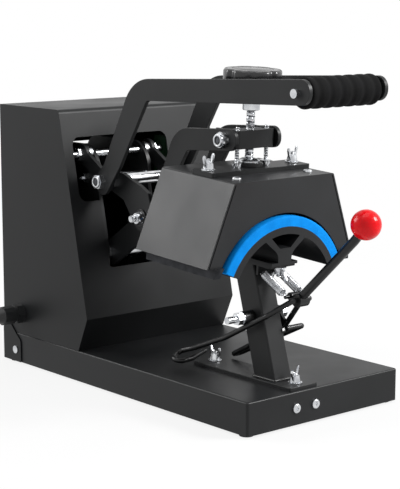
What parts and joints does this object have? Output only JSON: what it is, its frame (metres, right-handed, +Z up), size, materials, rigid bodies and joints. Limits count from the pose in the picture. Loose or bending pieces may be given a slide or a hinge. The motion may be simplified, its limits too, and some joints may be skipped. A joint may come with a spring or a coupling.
{
  "type": "cap heat press",
  "caption": "Bench-top clamshell heat press for caps: curved heated head on a toggle handle closes over a curved padded form, with a hold-down wire bail.",
  "frame": {"origin": "middle of the base footprint, on the plane of the rubber feet", "axes": "+X to the right of someone facing the press, +Y to the back, +Z up"},
  "size_m": [0.2718, 0.5629, 0.383],
  "materials": {
    "black_powder_coat": "satin",
    "dark_steel": "satin",
    "bright_zinc": "satin",
    "cast_aluminium": "satin",
    "blue_silicone": "matte",
    "black_rubber": "matte",
    "black_foam": "matte",
    "black_plastic": "gloss",
    "red_plastic": "gloss",
    "panel_plastic": "matte",
    "display_plastic": "gloss",
    "button_plastic": "matte",
    "circuit_board": "matte",
    "heater_silicone": "matte",
    "glass_wool": "matte"
  },
  "bodies": {
    "base": {"base_tray": "black_powder_coat", "rubber_feet": "black_rubber", "pedestal_stiffener": "dark_steel", "cabinet_shell": "black_powder_coat", "rear_panel": "black_powder_coat", "tray_screws": "bright_zinc", "cable_gland": "black_plastic", "gland_locknut": "black_plastic", "panel_bezel": "panel_plastic", "display_window": "display_plastic", "controller_board": "circuit_board", "switch_frame": "black_plastic", "frame_plates": "dark_steel", "fixed_axles": "bright_zinc", "axle_nuts": "bright_zinc", "pedestal_plate": "black_powder_coat", "pedestal_tube": "black_powder_coat", "form_head_plate": "black_powder_coat", "lower_form": "black_powder_coat", "silicone_pad": "blue_silicone", "wing_bolts": "bright_zinc", "bail_axle": "bright_zinc", "bail_springs": "bright_zinc"},
    "handle": {"handle_arm_left": "black_powder_coat", "handle_arm_right": "black_powder_coat", "crank_plates": "black_powder_coat", "grip_tube": "dark_steel", "foam_grip": "black_foam", "grip_bolts": "bright_zinc", "link_shaft": "bright_zinc", "link_spacers": "bright_zinc"},
    "toggle_link": {"toggle_links": "black_powder_coat"},
    "head_arm": {"head_arm_left": "black_powder_coat", "head_arm_right": "black_powder_coat", "rocker_plates": "black_powder_coat", "arm_bolts": "bright_zinc", "crosspiece": "black_powder_coat", "trunnion_block": "dark_steel"},
    "head": {"head_cover": "black_powder_coat", "head_end_panels": "black_powder_coat", "heater_platen": "dark_steel", "heater_mat": "heater_silicone", "insulation_blanket": "glass_wool", "pressure_bar": "black_powder_coat", "platen_studs": "bright_zinc", "cover_screws": "bright_zinc", "guide_bolts": "bright_zinc", "thrust_disc": "bright_zinc"},
    "screw": {"pressure_screw": "bright_zinc", "pressure_knob": "black_plastic"},
    "bail": {"bail_hubs": "dark_steel", "bail_wire_left": "dark_steel", "bail_wire_right": "dark_steel", "lever_rod": "black_powder_coat", "ball_knob": "red_plastic"},
    "rocker": {"power_rocker": "red_plastic"},
    "set_button": {"button_set": "button_plastic"},
    "up_button": {"button_up": "button_plastic"},
    "down_button": {"button_down": "button_plastic"},
    "start_button": {"button_start": "button_plastic"}
  },
  "joints": [
    {"name": "handle_hinge", "type": "hinge", "parent": "base", "child": "handle", "pos_m": [-0.03, 0.106, 0.271], "axis": [-1, 0, 0], "range_deg": [0, 55]},
    {"name": "link_hinge", "type": "hinge", "parent": "handle", "child": "toggle_link", "pos_m": [-0.03, 0.0585, 0.243], "axis": [-1, 0, 0], "range_deg": [-88.5, 0.5]},
    {"name": "arm_hinge", "type": "hinge", "parent": "base", "child": "head_arm", "pos_m": [-0.03, 0.084, 0.152], "axis": [-1, 0, 0], "range_deg": [0, 20.6]},
    {"name": "head_slide", "type": "slide", "parent": "head_arm", "child": "head", "axis": [0, -0.0576, 0.9983], "range_m": [-0.0005, 0.008]},
    {"name": "screw_turn", "type": "hinge", "parent": "head", "child": "screw", "pos_m": [-0.03, -0.13845, 0.3124], "axis": [0, -0.0576, 0.9983], "range_deg": [-95, 1445]},
    {"name": "bail_hinge", "type": "hinge", "parent": "base", "child": "bail", "pos_m": [-0.03, -0.157, 0.11], "axis": [-1, 0, 0], "range_deg": [-25, 0], "stiffness_Nm_per_rad": 0.6, "springref_deg": 34.38, "deforming": ["bail_springs"]},
    {"name": "rocker_hinge", "type": "hinge", "parent": "base", "child": "rocker", "pos_m": [0.112, 0.165, 0.12], "axis": [0, 1, 0], "range_deg": [-16, 0]},
    {"name": "set_button_press", "type": "slide", "parent": "base", "child": "set_button", "axis": [-1, 0, 0], "range_m": [0, 0.0015], "stiffness_N_per_m": 300, "springref_m": -0.001},
    {"name": "up_button_press", "type": "slide", "parent": "base", "child": "up_button", "axis": [-1, 0, 0], "range_m": [0, 0.0015], "stiffness_N_per_m": 300, "springref_m": -0.001},
    {"name": "down_button_press", "type": "slide", "parent": "base", "child": "down_button", "axis": [-1, 0, 0], "range_m": [0, 0.0015], "stiffness_N_per_m": 300, "springref_m": -0.001},
    {"name": "start_button_press", "type": "slide", "parent": "base", "child": "start_button", "axis": [-1, 0, 0], "range_m": [0, 0.0015], "stiffness_N_per_m": 300, "springref_m": -0.001}
  ],
  "couplings": [
    {"joint": "link_hinge", "follows": "handle_hinge", "ratio": -1.594},
    {"joint": "arm_hinge", "follows": "handle_hinge", "ratio": 0.372},
    {"joint": "screw_turn", "follows": "head_slide", "rad_per_m": 3141.6}
  ]
}
